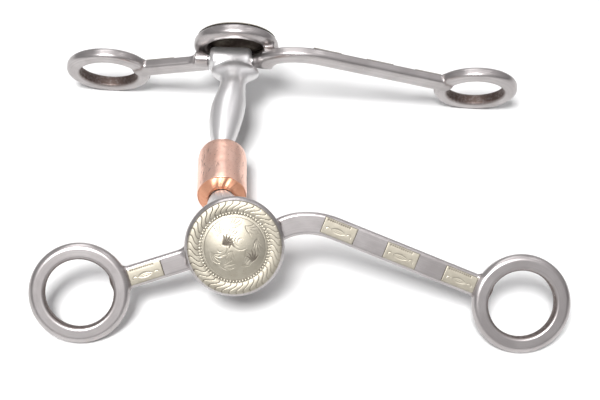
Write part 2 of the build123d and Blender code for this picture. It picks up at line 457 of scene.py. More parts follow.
def end_rings(p, middles):
    """Distance to the two end rings."""
    rings = np.full(len(p), np.inf)
    for middle in middles:
        low = middle[2] - ring_thickness / 2
        top = low + ring_thickness
        ring = flat_ring(
            p, *middle[:2], ring_outer, ring_bore, low, top, ring_round_out, ring_round_in
        )
        rings = np.minimum(rings, ring)
    return rings


def from_bars(p, lines):
    """Distance in the cheek's plane from the middle lines of the bars."""
    return np.minimum(*(path_distance(p[:, 0], p[:, 1], line) for line in lines))


def bars(p, lines):
    """Distance to the two bars, rounder on the side that lies inwards."""
    radius = np.where(p[:, 2] < 0, bar_round_in, bar_round_out)
    away = from_bars(p, lines)
    return rounded_box(away, p[:, 2], bar_half_width, bar_half_thickness, radius)


def lugs(p):
    """Distance to the two hinge lugs, with the gap for the barrel between them."""
    from_gap = p[:, 0] - lug_middle
    length = np.where(from_gap < 0, purchase_lug_length, shank_lug_length)
    lengthwise = np.abs(from_gap) - lug_half_gap - length / 2
    from_axis = np.hypot(p[:, 1], p[:, 2])
    return rounded_box(from_axis, lengthwise, lug_radius, length / 2, lug_round)


def pads(p):
    """Distance to the two pads that carry the centre ring."""
    nearest = np.full(len(p), np.inf)
    half_x, half_y, half_z = pad_half_size
    for pad_x, pad_y in pad_places:
        sideways = rounded_box(p[:, 0] - pad_x, p[:, 1] - pad_y, half_x, half_y, pad_corner)
        pad = np.maximum(sideways, np.abs(p[:, 2] - centre_ring_base + pad_sunk) - half_z)
        nearest = np.minimum(nearest, pad)
    return nearest


def centre_ring(p):
    """Distance to the fully rounded ring under the concho."""
    return flat_ring(
        p, 0, 0, centre_ring_outer, ring_bore, centre_ring_base, centre_ring_top,
        centre_round_out, centre_round_in,
    )


def cheek_shape(middles, lines):
    """Distance function of one cheek."""

    def shape(p):
        cheek = smooth_union(end_rings(p, middles), bars(p, lines), weld_fillet)
        cheek = smooth_union(cheek, lugs(p), lug_fillet)
        from_gap = np.abs(p[:, 0] - lug_middle) - lug_half_gap
        cheek = np.maximum(cheek, -from_gap)
        axle = np.hypot(p[:, 1], p[:, 2]) - tenon_radius
        cheek = np.maximum(cheek, -np.maximum(axle, from_gap - tenon_length))
        raised = smooth_union(centre_ring(p), pads(p), pad_fillet)
        return smooth_union(cheek, raised, pad_fillet)

    return shape


def cheek_painted_shade(p, middles, lines):
    """Painted shade, brown, in the ring bores, along the welds and round the pads."""
    tone = np.zeros(len(p))
    for middle in middles:
        from_bore = across_ring(p, middle) + (ring_outer - ring_bore) / 2
        tone = np.maximum(tone, clamp(1 - from_bore / shade_in_ring) ** 1.5)
    # painted shade in the centre ring's bore, under the concho
    from_bore = np.hypot(p[:, 0], p[:, 1]) - ring_bore
    in_bore = clamp(1 - from_bore / shade_in_centre)
    raised = p[:, 2] > 3.2
    tone = np.maximum(tone, 0.9 * in_bore * raised)
    weld = np.abs(end_rings(p, middles) - bars(p, lines)) / shade_at_weld
    tone = np.maximum(tone, 0.6 * bell(weld))
    above_bar = np.abs(p[:, 2] - bar_half_thickness - 0.3)
    foot = np.maximum(np.abs(pads(p)), above_bar) / shade_at_pad
    return np.maximum(tone, 0.8 * bell(foot))


def cheek_brush(p, middles, lines):
    """Distance across the brushing, which follows each ring and each bar."""
    on_bars = from_bars(p, lines)
    brush = on_bars + brush_apart
    nearest = on_bars / bar_half_width
    for number, middle in enumerate(middles):
        across = across_ring(p, middle)
        share = np.abs(across) / (ring_outer - ring_bore) * 2
        brush = np.where(share < nearest, across + 2 * brush_apart + brush_apart * number, brush)
        nearest = np.minimum(nearest, share)
    return brush + brush_slant * p[:, 2]


def build_cheek(side):
    """Steel cheek: end rings, bars and centre ring run together with soft welds."""
    axes = cheek_axes(side)
    middles, lines = cheek_lines(axes, side)
    headstall, rein = middles
    margin = ring_outer + 1.5
    low = (headstall[0] - margin, headstall[1] - margin, -4.5)
    high = (rein[0] + margin, margin, centre_ring_top + 1.5)
    points, faces, normals = skin(cheek_shape(middles, lines), low, high, cheek_cell)
    piece = make_object(
        side + "_cheek_steel", points, faces, axes, side + "_cheek", normals,
        tone=cheek_painted_shade(points, middles, lines), brush=cheek_brush(points, middles, lines),
    )
    dress(piece, side + "_cheek", steel("cheek_steel"))


# ---- mouthpiece
# distance from the hinge axis, half width and half height of the swelling arm
arm_swell = (
    (0.0, 6.8, 5.0), (2.0, 7.0, 5.0), (6.0, 7.2, 5.0), (9.0, 7.0, 5.0), (12.5, 5.7, 5.1),
    (18.0, 6.0, 6.2), (25.5, 7.2, 7.2), (33.0, 7.0, 7.0), (38.5, 6.2, 6.2), (43.0, 5.2, 5.2),
    (45.4, 4.4, 4.4), (48.0, 3.2, 3.2),
)
eye_radius = 4.6
pin_hole = 1.65
fork_half_width = 5.0
slot_half_width = 2.4
slot_reach = 5.2
tongue_half_width = 2.1
yoke_reach = 8.4
yoke_half_height = 3.4
eye_round = 0.5
yoke_round = 0.8
neck_into_yoke = 1.5
neck_into_arm = 1.0
neck_fillet = 1.2
collar_fillet = 1.0
barrel_fillet = 1.6
end_fillet = 0.7
arm_cell = 0.42
# room for the arm inside its grid: to each side, below and above the hinge axis
arm_room = (12.6, 9.5, 8.5)
# turns the angle round an arm into a distance for its brushing
arm_brush_radius = 6.0


def arm_shape(axes, has_fork):
    """Distance function of one mouthpiece half."""
    joint = into(axes, joints["mouth_fold"]["pos_m"])
    chord = joint[1]
    neck_back = np.array((0, -np.cos(neck_bend), -np.sin(neck_bend)))
    neck_up = np.array((0, -np.sin(neck_bend), np.cos(neck_bend)))
    neck_start = chord - neck_reach * np.cos(neck_bend)
    neck_dip = neck_reach * np.sin(neck_bend)

    def shape(p):
        run = np.clip(p[:, 1], 0, neck_start)
        share = run / neck_start
        drift = joint[0] * share**2 * (3 - 2 * share)
        dip = neck_dip * share**2
        half_width = curve_through(arm_swell, 1, run)
        half_height = curve_through(arm_swell, 2, run)
        swell = np.hypot((p[:, 0] - drift) / half_width, (p[:, 2] + dip) / half_height) - 1
        swell = swell * np.minimum(half_width, half_height)
        swell = np.maximum(swell, p[:, 1] - neck_start)
        swell = np.maximum(swell, -p[:, 1])

        from_joint = p - joint
        back = from_joint @ neck_back
        up = from_joint @ neck_up
        sideways = from_joint[:, 0]
        neck = np.hypot(sideways, up) - neck_radius
        past_yoke = yoke_reach - neck_into_yoke - back
        past_arm = back - neck_reach - neck_into_arm
        neck = np.maximum(neck, np.maximum(past_yoke, past_arm))
        arm = smooth_union(swell, neck, neck_fillet)

        collar_size = np.array((collar_reach, collar_radius, collar_radius))
        from_collar = p - (0.0, collar_distance, 0.0)
        inner = np.linalg.norm(from_collar / collar_size, axis=1)
        slope = np.linalg.norm(from_collar / collar_size**2, axis=1)
        collar = inner * (inner - 1) / np.maximum(slope, 1e-6)
        arm = smooth_union(arm, collar, collar_fillet)

        from_axis = np.hypot(p[:, 1], p[:, 2])
        from_end = np.abs(p[:, 0] - lug_middle) - barrel_half_length
        barrel = rounded_box(
            from_axis, p[:, 0] - lug_middle, barrel_radius, barrel_half_length, barrel_round
        )
        arm = smooth_union(arm, barrel, barrel_fillet)
        arm = np.maximum(arm, np.minimum(lug_clearance - from_axis, from_end))

        half = fork_half_width if has_fork else tongue_half_width
        eye = rounded_box(np.hypot(back, up), sideways, eye_radius, half, eye_round)
        yoke = np.maximum(
            rounded_box(sideways, up, half, yoke_half_height, yoke_round),
            np.maximum(-back, back - yoke_reach),
        )
        end = np.minimum(eye, yoke)
        if has_fork:
            slot = np.maximum(np.abs(sideways) - slot_half_width, back - slot_reach)
            end = np.maximum(end, -slot)
        arm = smooth_union(arm, end, end_fillet)
        arm = np.maximum(arm, pin_hole - np.hypot(back, up))
        return np.maximum(arm, barrel_bore - from_axis)

    return shape


def build_arm(side, has_fork):
    """Polished mouthpiece half."""
    axes = arm_axes(side)
    joint = into(axes, joints["mouth_fold"]["pos_m"])
    beside, below, above = arm_room
    low = (-beside, -barrel_radius - 1.0, -below)
    high = (beside, joint[1] + eye_radius + 1.0, above)
    points, faces, normals = skin(arm_shape(axes, has_fork), low, high, arm_cell)
    brush = arm_brush_radius * np.arctan2(points[:, 0], points[:, 2])
    piece = make_object(
        side + "_mouth_arm", points, faces, axes, side + "_arm", normals, brush=brush
    )
    dress(piece, side + "_arm", steel("mouth_steel"))


# ---- roller
roller_columns = 256
cavity_round = 1.0
lip_reach = 0.9
ridge_radius = 9.5
ridge_height = 13.2
ridge_round = (0.5, 0.9)
wall_swell = 0.2
wall_margin = 0.05
dent_count = 26
dent_size = (0.9, 2.6)
dent_depth = (0.03, 0.11)
# short dark marks: number, width, lengths, and the angle of their middle and its spread
mark_count = 14
mark_width = 0.20
mark_length = (0.8, 1.8)
mark_angle = (-0.85, 0.35)
seam_angle = 0.95
seam_width = 0.22
stain_depth = 0.10
# crimped ends: how far they sink, and count and depth of the folds and of the fine wrinkles
end_sink = 0.36
crimp_folds = 6
fold_depth = 0.24
wrinkles = 17
wrinkle_depth = 0.06


def roller_half_profile():
    """(radius, height) points from the middle of the cavity, round the lip, to the outer middle."""
    wall_start = roller_half_length - roller_end_wall
    lip = roller_end_wall / 2
    inside = [(roller_cavity, z) for z in np.linspace(0, wall_start - 1.2, 12)]
    for a in np.linspace(0, np.pi / 2, 10):
        turned = (roller_cavity - cavity_round + np.cos(a), wall_start - cavity_round + np.sin(a))
        inside.append(turned)
    for a in np.linspace(-np.pi / 2, np.pi / 2, 16)[1:]:
        lip_radius = roller_hole + lip_reach * (1 - np.cos(a))
        inside.append((lip_radius, wall_start + lip + lip * np.sin(a)))
    outside = []
    first = roller_hole + lip_reach
    cone_height = roller_half_length - ridge_height
    for share in np.linspace(0, 1, 26)[1:]:
        radius = first + (ridge_radius - first) * share
        outside.append((radius, ridge_height + cone_height * (1 - share**1.7)))
    wide, tall = ridge_round
    shoulder = ridge_height - tall
    for a in np.linspace(0, np.pi / 2, 12)[1:]:
        outside.append((ridge_radius + wide * np.sin(a), shoulder + tall * np.cos(a)))
    for z in np.linspace(shoulder, 0, 40)[1:]:
        fuller = wall_swell * clamp((shoulder - z) / 2.0) ** 0.7
        outside.append((ridge_radius + wide + fuller, z))
    return np.array(inside + outside), len(inside)


def dent(angle, height, spot, level, around, along, turned=0.0):
    """Smooth hollow on the roller: 1 at its middle."""
    across = np.angle(np.exp(1j * (angle - spot))) * roller_radius
    up = height - level
    u = across * np.cos(turned) + up * np.sin(turned)
    v = up * np.cos(turned) - across * np.sin(turned)
    return np.exp(-((u / around) ** 2) - (v / along) ** 2)


def build_roller():
    """Copper tube with rolled-in, creased ends and a few dents."""
    axes = roller_axes()
    half, inner_count = roller_half_profile()
    profile = np.vstack((half, half[::-1][1:-1] * (1, -1)))
    outer_wall = np.zeros(len(profile), dtype=bool)
    outer_wall[inner_count : len(profile) - inner_count + 1] = True
    columns, rows = roller_columns, len(profile)
    around = np.linspace(0, 2 * np.pi, columns, endpoint=False)
    angle, row = np.meshgrid(around, np.arange(rows), indexing="ij")
    radius, height = profile[row, 0], profile[row, 1]

    random = np.random.default_rng(5)
    dents = np.zeros_like(radius)
    for _ in range(dent_count):
        spot, level = random.uniform(0, 2 * np.pi), random.uniform(-9, 9)
        size = random.uniform(*dent_size)
        dents += random.uniform(*dent_depth) * dent(angle, height, spot, level, size, size)
    stain = np.zeros_like(radius)
    for _ in range(mark_count):
        spot, level = random.normal(*mark_angle), random.uniform(-11, 9)
        slant = random.uniform(-0.6, 0.6)
        length = random.uniform(*mark_length)
        stain += dent(angle, height, spot, level, mark_width, length, slant)
    seam = seam_angle + 0.05 * np.sin(0.9 * height) + 0.03 * np.sin(2.3 * height + 1.0)
    seam_off = np.angle(np.exp(1j * (angle - seam))) * roller_radius / seam_width
    stain += 0.8 * bell(seam_off) * (0.5 + 0.5 * np.sin(0.7 * height + 0.6))
    dents += stain_depth * stain
    cap = clamp((np.abs(height) - ridge_height + 0.5) / 0.5)
    slant = angle + 0.05 * (radius - roller_hole) * np.sign(height)
    folds = np.sin(crimp_folds * slant + 2.2 * np.sin(2 * slant + 0.4))
    folds = fold_depth * (folds * (0.6 + 0.4 * np.sin(3 * slant + 1.1)))
    folds = folds + wrinkle_depth * np.sin(wrinkles * slant + 2.6 * np.sin(3 * slant))
    lengthwise = 0.10 * np.sin(2 * angle + 0.30 * height) + 0.05 * np.sin(5 * angle - 0.4 * height)
    shown = outer_wall[row]
    radius = radius - shown * (dents + wall_margin + lengthwise * (1 - cap) * 0.5)
    height = height - np.sign(height) * shown * cap * (end_sink + folds)
    radius = np.where(shown, np.clip(radius, roller_hole + 0.3, roller_radius), radius)

    points = np.stack((radius * np.cos(angle), radius * np.sin(angle), height), -1)
    number = np.arange(columns)[:, None] * rows + np.arange(rows)[None, :]
    beside = np.roll(number, -1, axis=0)
    faces = np.stack(
        (number, np.roll(number, -1, axis=1), np.roll(beside, -1, axis=1), beside), -1
    )
    # the rolled ends and the inside take the end colour: partly the copper's own orange, partly painted reflection
    tone = np.where(shown, cap, 1.0)
    piece = make_object(
        "copper_roller", points.reshape(-1, 3), faces.reshape(-1, 4), axes, "roller",
        tone=tone.ravel(), stain=(stain * shown * (1 - cap)).ravel(),
    )
    dress(piece, "roller", copper())


# ---- engraving
def graver_cut(x, y, start, heading, length, bend, width):
    """Tapered bright cut along an arc: 1 on its line, 0 outside. Angles in degrees."""
    heading, bend = np.radians(heading), np.radians(bend)
    radius = length / bend
    middle_x = start[0] - radius * np.sin(heading)
    middle_y = start[1] + radius * np.cos(heading)
    from_start = np.arctan2(y - middle_y, x - middle_x) - np.arctan2(
        start[1] - middle_y, start[0] - middle_x
    )
    from_start = np.angle(np.exp(1j * (from_start - bend / 2))) + bend / 2
    run = from_start / bend
    taper = np.sin(np.pi * clamp(run) ** 0.75)
    away = np.abs(np.hypot(x - middle_x, y - middle_y) - abs(radius))
    return clamp(1 - away / np.maximum(width * taper, 1e-3))


def leaf(x, y, root, heading, length, blades, fan, width):
    """Fan of cuts that curl away from a leaf's root."""
    cut = np.zeros_like(x)
    for blade in range(blades):
        share = blade / max(blades - 1, 1) - 0.5
        reach = length * (1 - 0.5 * abs(share))
        turn = heading + fan * share
        bend = 40 + 60 * share
        cut = np.maximum(cut, graver_cut(x, y, root, turn, reach, bend, width))
    return cut


def scroll(x, y, middle, first, turns, width):
    """Spiral of short overlapping cuts round a middle."""
    cut = np.zeros_like(x)
    for step, radius in enumerate(np.linspace(1.0, turns, int(turns / 0.85))):
        begin = first + 55 * step
        around = np.radians(begin)
        start = (middle[0] + radius * np.cos(around), middle[1] + radius * np.sin(around))
        bend = 150.0
        reach = radius * np.radians(bend)
        cut = np.maximum(cut, graver_cut(x, y, start, begin + 90, reach, bend, width))
    return cut


def deepest(x, y, kind, table):
    """Deepest of several cuts, leaves or spirals; each row of the table is one of them."""
    cut = np.zeros_like(x)
    for row in table:
        cut = np.maximum(cut, kind(x, y, *row))
    return cut


# ---- conchos
engraving_depth = 0.10
strand_cut_depth = 0.13
strand_cut_share = 0.065
bead_radius = 0.56
concho_grid = 240
concho_sheet = 0.3
concho_gap = 0.02


def disc_grid(count, radius):
    """Square grid of points spread over a disc, without a pole."""
    line = np.linspace(-1, 1, count)
    u, v = np.meshgrid(line, line, indexing="ij")
    x = u * np.sqrt(1 - v**2 / 2)
    y = v * np.sqrt(1 - u**2 / 2)
    return x * radius, y * radius


def rope_border(radius, angle):
    """Height and tarnish of the rope border: twisted strands with S-shaped cuts between them."""
    middle = (concho_radius + rope_inner) / 2
    u = np.clip((radius - middle) / ((concho_radius - rope_inner) / 2), -1, 1)
    round_top = np.sqrt(clamp(1 - u**2))
    lag = 0.55 * u + 0.28 * np.sin(np.pi * u)
    strand = (rope_strands * angle / (2 * np.pi) + lag) % 1.0
    near_cut = np.minimum(strand, 1 - strand)
    cut = bell(near_cut / strand_cut_share)
    swell = np.sin(np.pi * strand) ** 0.5
    height = rope_height * round_top * (0.95 + 0.05 * swell) - strand_cut_depth * cut * round_top
    line = bell(near_cut / 0.09)
    return np.where(np.abs(u) < 1, height, 0.0), np.where(np.abs(u) < 1, line, 0.0)


def bead_row(radius, angle):
    """Small beads in the gutter between rope and dome."""
    place = (bead_count * angle / (2 * np.pi)) % 1.0 - 0.5
    along = place * 2 * np.pi * bead_ring / bead_count
    away = np.hypot(along, radius - bead_ring)
    return bead_height * np.sqrt(clamp(1 - (away / bead_radius) ** 2))


def dome_engraving(x, y):
    """Leaves and spirals of fine cuts on the dome."""
    cut = deepest(x, y, scroll, dome_scrolls)
    for root, heading, length in dome_leaves:
        cut = np.maximum(cut, leaf(x, y, root, heading, length, 5, 46.0, 0.30))
        cut = np.maximum(cut, graver_cut(x, y, root, heading - 40, 1.2 * length, 110.0, 0.26))
    return cut


def concho_top(x, y):
    """Height above the centre ring, and tarnish, of a concho's face."""
    radius, angle = np.hypot(x, y), np.arctan2(y, x)
    rope, rope_cut = rope_border(radius, angle)
    beads = bead_row(radius, angle)
    share = clamp(radius / dome_radius)
    dome = dome_height * (1 - share**2)
    inside = clamp((dome_radius - 0.7 - radius) / 0.8)
    engraved = dome_engraving(x, y) * inside
    border_line = bell((radius - dome_radius + 0.9) / 0.16)
    shade = deepest(x, y, leaf, dome_shades) * inside
    dome = dome - engraving_depth * np.maximum(engraved, shade)
    dome = dome - engraving_depth * border_line * (radius < dome_radius)
    edge = clamp((concho_radius - radius) / 0.5)
    height = concho_plate * (0.30 + 0.65 * np.sqrt(1 - (1 - edge) ** 2))
    height = height + np.maximum(np.maximum(rope, dome), beads)
    gutter = bell((radius - bead_ring) / 0.8) * (1 - beads / bead_height)
    # the rope's cut lines grow darker towards -x, and the gutter darker towards -y
    rope_cut_darkness = 0.62 - 0.30 * x / concho_radius
    lower = 0.10 + 0.45 * clamp(-y / bead_ring)
    tone = np.maximum(np.maximum(rope_cut_darkness * rope_cut, 0.15 * engraved), lower * gutter)
    return height, np.maximum(np.maximum(tone, 0.95 * shade), 0.18 * border_line)


def build_concho(side):
    """Pressed and engraved German-silver concho, hollow underneath."""
    x, y = disc_grid(concho_grid, concho_radius)
    height, tone = concho_top(x, y)
    top = np.stack((x, y, centre_ring_top + height), -1)
    radius = np.hypot(x, y)
    share = clamp(radius / (dome_radius - 0.8))
    hollow = (dome_height - concho_sheet) * (1 - share**2)
    bottom = np.stack((x, y, centre_ring_top + concho_gap + hollow), -1)
    points, faces = closed_plate(top, bottom)
    piece = make_object(
        side + "_concho_engraved", points, faces, cheek_axes(side), side + "_cheek",
        # tone 1 under and round the plate: painted shade underneath
        tone=np.append(tone, np.ones(tone.size)),
    )
    dress(piece, side + "_concho", german_silver())


# ---- overlays
overlay_names = ("overlay_purchase", "overlay_upper", "overlay_middle", "overlay_lower")
overlay_grid = (110, 56)
overlay_bevel = 0.45
overlay_crown = 0.10
overlay_cut_depth = 0.09
overlay_sunk = 0.02
tooth_spacing = 0.85


def overlay_top(x, y):
    """Height above the bar, and tarnish, of an overlay's face."""
    half_length, half_width = overlay_length / 2, overlay_width / 2
    border = np.minimum(half_length - np.abs(x), half_width - np.abs(y))
    bevel = clamp(border / overlay_bevel)
    height = overlay_height * np.sqrt(1 - (1 - bevel) ** 2)
    height = height + overlay_crown * (1 - (y / half_width) ** 2)
    tooth = np.abs(2 * ((x / tooth_spacing) % 1.0) - 1)
    teeth = bell((y - half_width + 0.8) / 0.42) * (0.35 + 0.65 * tooth)
    teeth = teeth * (np.abs(x + 0.8) < half_length - 2.0)
    cut = deepest(x, y, graver_cut, overlay_cuts) * clamp((border - 0.5) / 0.3)
    height = height - overlay_cut_depth * np.maximum(cut, teeth)
    ends = clamp(1 - (half_length - np.abs(x)) / 0.28)
    return height, np.maximum(np.maximum(0.85 * teeth, 0.05 * cut), 0.8 * ends)


def overlay_frame(axes, side, name):
    """Middle of an overlay and the direction of its long side, in the cheek's millimetres."""
    node = side + "_" + name
    mesh = frame["nodes"][node].data
    local = np.array([into(axes, vertex.co) for vertex in mesh.vertices])
    middle = (local.min(0) + local.max(0)) / 2
    purchase, shank = cheek_lines(axes, side)[1]
    line = purchase if name == "overlay_purchase" else shank
    along = unit(line[-1] - line[-2])
    if along[0] < 0:
        along = -along
    return middle[:2], along


def build_overlay(side, name):
    """Engraved German-silver plate on a bar."""
    axes = cheek_axes(side)
    middle, along = overlay_frame(axes, side, name)
    line_x = np.linspace(-overlay_length / 2, overlay_length / 2, overlay_grid[0])
    line_y = np.linspace(-overlay_width / 2, overlay_width / 2, overlay_grid[1])
    x, y = np.meshgrid(line_x, line_y, indexing="ij")
    height, tone = overlay_top(x, y)
    place_x = middle[0] + x * along[0] - y * along[1]
    place_y = middle[1] + x * along[1] + y * along[0]
    top = np.stack((place_x, place_y, bar_half_thickness + height), -1)
    under = np.full_like(x, bar_half_thickness - overlay_sunk)
    bottom = np.stack((place_x, place_y, under), -1)
    points, faces = closed_plate(top, bottom)
    piece = make_object(
        side + "_" + name + "_engraved", points, faces, axes, side + "_cheek",
        # tone 1 under and round the plate: painted shade underneath
        tone=np.append(tone, np.ones(tone.size)),
    )
    dress(piece, side + "_" + name, german_silver())


# ---- materials
# roughness, darker and lighter tint, and how strongly scratches show
steels = {
    "cheek_steel": (0.31, (0.41, 0.385, 0.38), (0.48, 0.455, 0.45), 0.05),
    "mouth_steel": (0.11, (0.74, 0.72, 0.725), (0.80, 0.785, 0.79), 0.5),
    "pin_steel": (0.34, (0.41, 0.385, 0.38), (0.48, 0.455, 0.45), 0.05),
}
steel_brushed = (0.33, 0.305, 0.305)
steel_scratch = (0.26, 0.22, 0.21)
# painted shade: brown colour for the cheeks' bores, weld corners and pad feet
steel_painted_shade = (0.115, 0.085, 0.075)
# painted highlight: lighter colour on outer edges
steel_edge_highlight = (0.70, 0.68, 0.68)
copper_wall = ((0.90, 0.57, 0.455), (0.94, 0.63, 0.52))
# end colour: partly the copper's own orange, partly painted reflection
copper_end_and_reflection = (0.66, 0.335, 0.215)
copper_spot = (0.50, 0.25, 0.17)
copper_mark = (0.20, 0.09, 0.06)
# painted shade in the creases
copper_crease_shade = (0.22, 0.085, 0.05)
copper_roughness = 0.32
silver_tints = ((0.39, 0.362, 0.30), (0.345, 0.318, 0.26))
# brown: tarnish in the recesses, and painted shade under the plates
silver_tarnish_and_shade = (0.06, 0.045, 0.038)
# painted highlight: lighter colour on outer edges
silver_edge_highlight = (0.62, 0.60, 0.50)
silver_roughness = 0.45


class Nodes:
    """Short way of writing the node tree of a material or a world."""

    def __init__(self, owner):
        owner.use_nodes = True
        self.owner = owner
        self.tree = owner.node_tree
        self.places = self.add("ShaderNodeTexCoord").outputs

    def add(self, kind, **settings):
        node = self.tree.nodes.new(kind)
        for key, value in settings.items():
            setattr(node, key, value)
        return node

    def link(self, source, target):
        self.tree.links.new(source, target)

    def noise(self, per_metre, detail=4.0, stretch=(1, 1, 1)):
        """Noise value between 0 and 1, in cycles per metre."""
        scaled = self.add("ShaderNodeMapping")
        scaled.inputs["Scale"].default_value = stretch
        self.link(self.places["Object"], scaled.inputs["Vector"])
        texture = self.add("ShaderNodeTexNoise")
        texture.inputs["Scale"].default_value = per_metre
        texture.inputs["Detail"].default_value = detail
        self.link(scaled.outputs["Vector"], texture.inputs["Vector"])
        return texture.outputs["Fac"]

    def remap(self, source, low, high, to_low=0.0, to_high=1.0):
        node = self.add("ShaderNodeMapRange", interpolation_type="SMOOTHSTEP")
        for key, value in zip(
            ("From Min", "From Max", "To Min", "To Max"), (low, high, to_low, to_high)
        ):
            node.inputs[key].default_value = value
        self.link(source, node.inputs["Value"])
        return node.outputs["Result"]

    def maths(self, operation, *values):
        node = self.add("ShaderNodeMath", operation=operation)
        for socket, value in zip(node.inputs, values):
            if isinstance(value, (int, float)):
                socket.default_value = value
            else:
                self.link(value, socket)
        return node.outputs[0]

    def mix(self, share, first, second):
        """Colour between two colours or colour sockets."""
        node = self.add("ShaderNodeMix", data_type="RGBA")
        self.link(share, node.inputs["Factor"])
        for key, value in ((6, first), (7, second)):
            if isinstance(value, tuple):
                node.inputs[key].default_value = value + (1.0,)
            else:
                self.link(value, node.inputs[key])
        return node.outputs[2]

    def bump(self, source, depth_mm, after=None):
        node = self.add("ShaderNodeBump")
        node.inputs["Distance"].default_value = depth_mm * MM
        node.inputs["Strength"].default_value = 1.0
        self.link(source, node.inputs["Height"])
        if after is not None:
            self.link(after, node.inputs["Normal"])
        return node.outputs["Normal"]

    def edges(self, low, high):
        """0 on flats and in corners, 1 on outer edges."""
        geometry = self.add("ShaderNodeNewGeometry")
        return self.remap(geometry.outputs["Pointiness"], low, high)

    def stored(self, name):
        """Value stored per point on the mesh."""
        return self.add("ShaderNodeAttribute", attribute_name=name).outputs["Fac"]

    def streaks(self, per_mm):
        """Brushing: noise that only changes across the brush direction."""
        texture = self.add("ShaderNodeTexNoise", noise_dimensions="1D")
        texture.inputs["Scale"].default_value = per_mm
        texture.inputs["Detail"].default_value = 1.0
        self.link(self.stored("brush"), texture.inputs["W"])
        return texture.outputs["Fac"]

    def ramp(self, value, stops):
        """Grey level that follows a value through (place, level) stops."""
        node = self.add("ShaderNodeValToRGB")
        while len(node.color_ramp.elements) < len(stops):
            node.color_ramp.elements.new(0.5)
        for element, (place, level) in zip(node.color_ramp.elements, stops):
            element.position = place
            element.color = (level, 0.99 * level, level, 1)
        self.link(value, node.inputs[0])
        return node.outputs[0]

    def finish(self, colour, roughness, normal):
        surface = self.tree.nodes["Principled BSDF"]
        surface.inputs["Metallic"].default_value = 1.0
        self.link(colour, surface.inputs["Base Color"])
        self.link(roughness, surface.inputs["Roughness"])
        self.link(normal, surface.inputs["Normal"])
        return self.owner


def steel(name):
    """Stainless steel: cloudy satin polish, brushing, scratches, painted shade in recesses, painted edge
    highlights.
    """
    if name in bpy.data.materials:
        return bpy.data.materials[name]
    roughness, darker, lighter, scratched = steels[name]
    nodes = Nodes(bpy.data.materials.new(name))
    cloud = nodes.noise(90, 3)
    grain = nodes.noise(900, 5)
    brushing = nodes.streaks(1.5)
    marks = nodes.noise(260, 6, (1.0, 0.16, 1.0))
    body = nodes.mix(nodes.remap(cloud, 0.35, 0.65), darker, lighter)
    body = nodes.mix(nodes.remap(brushing, 0.40, 0.72, 0.0, 0.40), body, steel_brushed)
    body = nodes.mix(nodes.remap(marks, 0.60, 0.72, 0.0, scratched), body, steel_scratch)
    # painted shade: the tone darkens recesses towards brown, where shade falls
    recess = nodes.maths("MULTIPLY", nodes.stored("tone"), nodes.remap(grain, 0.2, 0.6, 0.7, 1.0))
    colour = nodes.mix(recess, body, steel_painted_shade)
    # painted highlight: outer edges, found by pointiness, are made lighter
    colour = nodes.mix(nodes.edges(0.60, 0.75), colour, steel_edge_highlight)
    rough = nodes.maths("ADD", nodes.remap(grain, 0.3, 0.7, -0.008, 0.012), roughness)
    rough = nodes.maths("ADD", rough, nodes.remap(brushing, 0.3, 0.7, -0.012, 0.02))
    rough = nodes.maths("ADD", rough, nodes.maths("MULTIPLY", recess, 0.25))
    normal = nodes.bump(brushing, 0.006, nodes.bump(grain, 0.002))
    return nodes.finish(colour, rough, normal)


def copper():
    """Handled copper: pink on the wall, orange rolled ends partly as painted reflection, painted brown shade in
    the creases.
    """
    nodes = Nodes(bpy.data.materials.new("worn_copper"))
    cloud = nodes.noise(130, 4)
    spots = nodes.noise(420, 5)
    grain = nodes.noise(1600, 3)
    wall = nodes.mix(nodes.remap(cloud, 0.35, 0.65), *copper_wall)
    # rolled ends: partly the copper's own orange, partly painted reflection
    colour = nodes.mix(nodes.stored("tone"), wall, copper_end_and_reflection)
    colour = nodes.mix(nodes.remap(spots, 0.60, 0.78, 0.0, 0.4), colour, copper_spot)
    marked = nodes.maths("MULTIPLY", nodes.stored("stain"), 0.75)
    colour = nodes.mix(marked, colour, copper_mark)
    # painted shade: creases, found by pointiness, are darkened to brown
    colour = nodes.mix(nodes.edges(0.40, 0.49), copper_crease_shade, colour)
    grainy = nodes.remap(grain, 0.3, 0.7, -0.05, 0.08)
    rough = nodes.maths("ADD", grainy, copper_roughness)
    rough = nodes.maths("ADD", rough, nodes.maths("MULTIPLY", nodes.stored("tone"), 0.12))
    normal = nodes.bump(grain, 0.004, nodes.bump(spots, 0.015))
    return nodes.finish(colour, rough, normal)


def german_silver():
    """Warm German silver: painted highlight on edges and cuts, brown tarnish in the recesses, painted shade
    underneath, faint clouds.
    """
    if "german_silver" in bpy.data.materials:
        return bpy.data.materials["german_silver"]
    nodes = Nodes(bpy.data.materials.new("german_silver"))
    cloud = nodes.noise(240, 4)
    grain = nodes.noise(2200, 4)
    body = nodes.mix(nodes.remap(cloud, 0.35, 0.68), *silver_tints)
    recess = nodes.maths("MULTIPLY", nodes.stored("tone"), nodes.remap(cloud, 0.2, 0.7, 0.65, 1.0))
    # tarnish in the hollows; where tone is 1 under the plates it is painted shade
    colour = nodes.mix(recess, body, silver_tarnish_and_shade)
    # painted highlight: outer edges and the rims of cuts, found by pointiness, are made lighter
    colour = nodes.mix(nodes.edges(0.55, 0.66), colour, silver_edge_highlight)
    grainy = nodes.remap(grain, 0.3, 0.7, -0.04, 0.05)
    rough = nodes.maths("ADD", grainy, silver_roughness)
    rough = nodes.maths("ADD", rough, nodes.maths("MULTIPLY", recess, 0.3))
    normal = nodes.bump(grain, 0.002, nodes.bump(cloud, 0.012))
    return nodes.finish(colour, rough, normal)


# ---- stage, light and camera
# in metres
floor_side = 8.0
floor_gap = 0.0001


